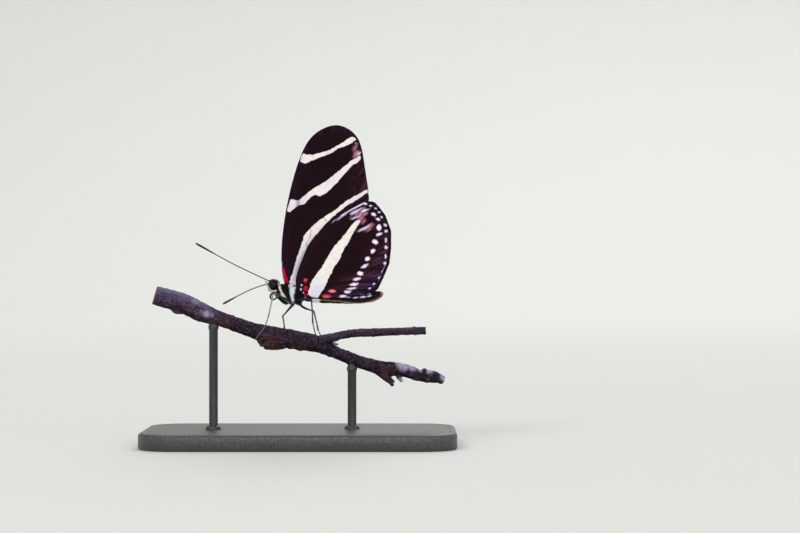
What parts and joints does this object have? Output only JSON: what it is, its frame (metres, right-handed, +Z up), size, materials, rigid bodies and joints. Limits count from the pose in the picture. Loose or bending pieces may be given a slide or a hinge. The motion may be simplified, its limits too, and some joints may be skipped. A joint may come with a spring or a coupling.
{
  "type": "zebra longwing butterfly display model",
  "caption": "Life-size zebra longwing at rest on a cut twig, striped wings closed over its back, held above a small flat stand by plain rods.",
  "frame": {"origin": "middle of the stand's underside", "axes": "+Z up. The butterfly's head points to -X, and its left side, the one that the picture shows, faces -Y"},
  "size_m": [0.078, 0.042, 0.0802],
  "materials": {
    "wing_scales": "dense matt scales, blackish brown with pale cream stripes and small red spots",
    "body_hair": "short dark hair and scales with cream lines",
    "eye": "dark, finely faceted, soft gloss",
    "horn": "dark horn with fine pale scales",
    "bark": "dry, rough, purplish brown bark",
    "stand": "satin dark grey paint",
    "rod": "satin dark grey paint"
  },
  "bodies": {
    "root": {"head": "body_hair", "thorax": "body_hair", "abdomen": "body_hair", "eye_left": "eye", "eye_right": "eye", "antenna_left": "horn", "antenna_right": "horn", "palp_left": "body_hair", "palp_right": "body_hair", "proboscis": "horn", "forewing_left": "wing_scales", "forewing_right": "wing_scales", "hindwing_left": "wing_scales", "hindwing_right": "wing_scales", "foreleg_left": "horn", "foreleg_right": "horn", "midleg_left": "horn", "midleg_right": "horn", "hindleg_left": "horn", "hindleg_right": "horn", "perch_limb": "bark", "perch_side_twig": "bark", "stand_base": "stand", "stand_rod_left": "rod", "stand_rod_right": "rod"}
  },
  "joints": []
}
